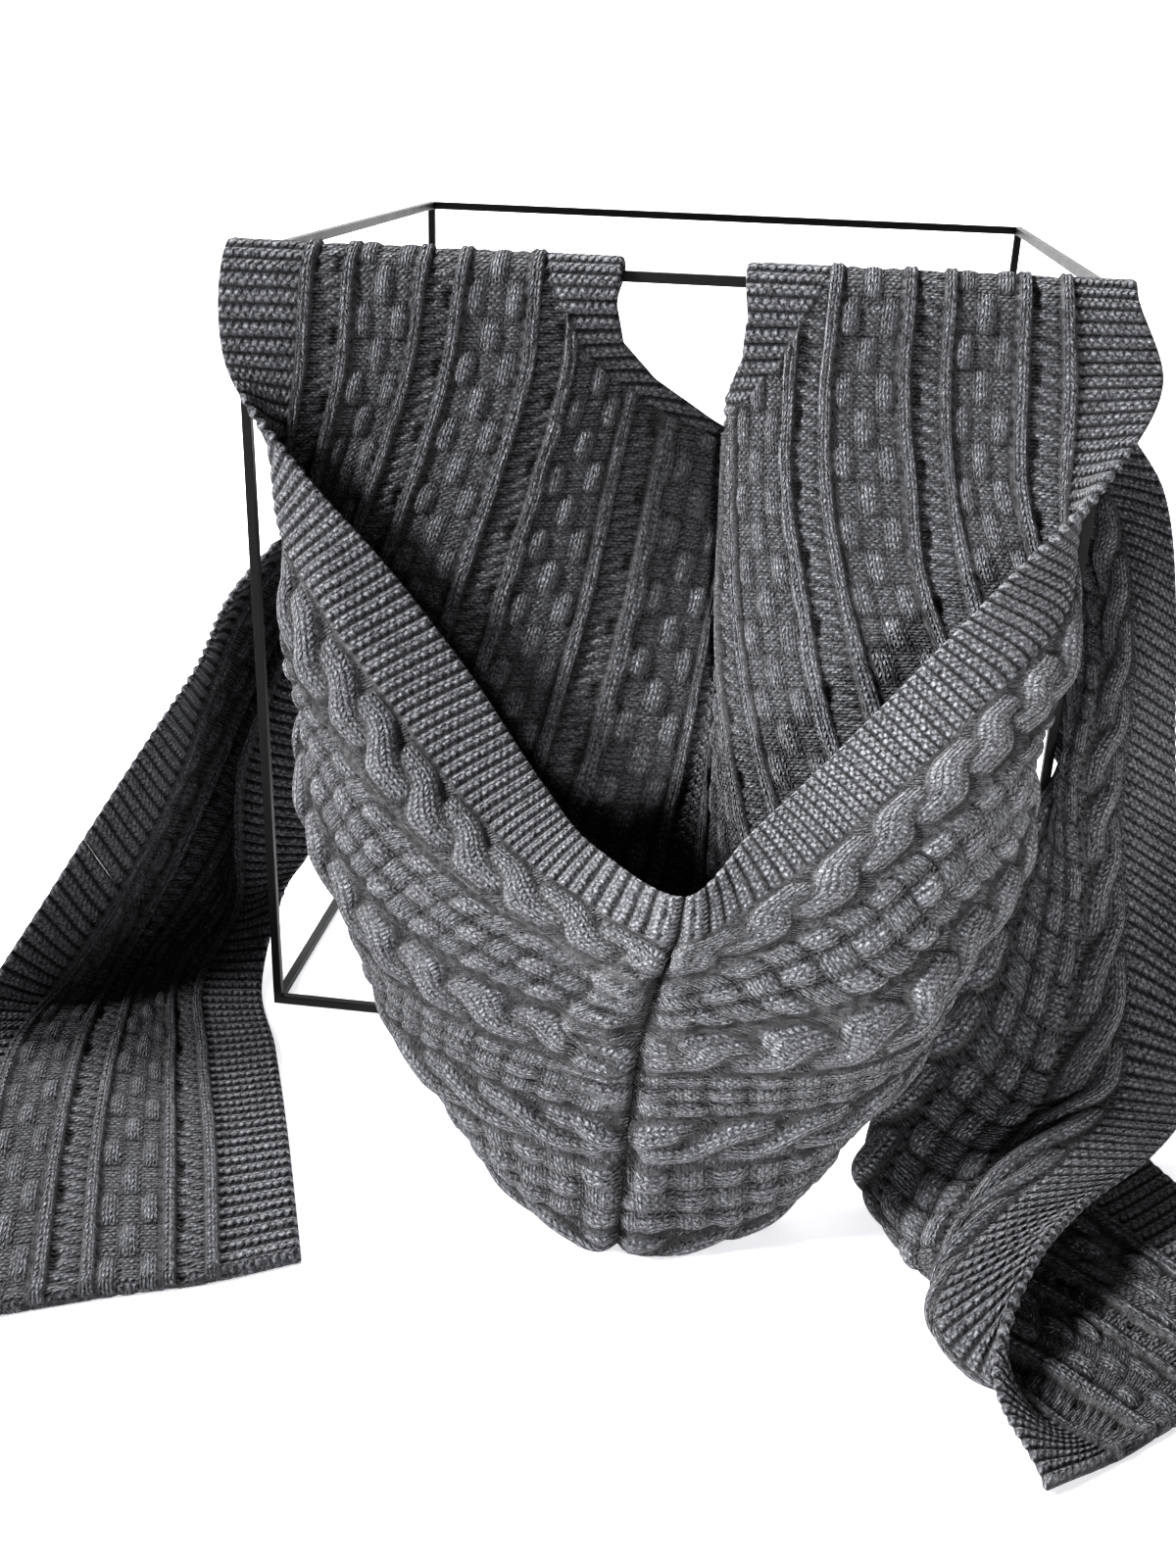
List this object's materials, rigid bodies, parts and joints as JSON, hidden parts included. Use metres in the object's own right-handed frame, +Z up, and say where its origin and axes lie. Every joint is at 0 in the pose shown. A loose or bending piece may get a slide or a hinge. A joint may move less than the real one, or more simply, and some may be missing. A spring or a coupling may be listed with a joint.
{
  "type": "hooded cable-knit scarf on a wire cube display stand",
  "caption": "Grey wool hooded scarf in cables and basket stitch, draped over the front bar of a black wire cube, hood hanging open in front.",
  "frame": {"origin": "middle of the underside of the cube's front bottom bar", "axes": "+Z up, +X to the viewer's right along the front bar, +Y from the front bar to the back of the cube; the hood hangs on the -Y side"},
  "size_m": [0.5947, 0.596, 0.3563],
  "materials": {
    "wool": "thick mid grey heather wool yarn, matt and slightly hairy",
    "steel": "satin black paint"
  },
  "bodies": {
    "root": {"hood_left_half": "wool", "hood_right_half": "wool", "left_tail_drop": "wool", "left_tail_end": "wool", "right_tail_drop": "wool", "right_tail_end": "wool", "post_front_left": "steel", "post_front_right": "steel", "post_back_left": "steel", "post_back_right": "steel", "bottom_bar_front": "steel", "bottom_bar_back": "steel", "bottom_bar_left": "steel", "bottom_bar_right": "steel", "top_bar_front": "steel", "top_bar_back": "steel", "top_bar_left": "steel", "top_bar_right": "steel"}
  },
  "joints": []
}
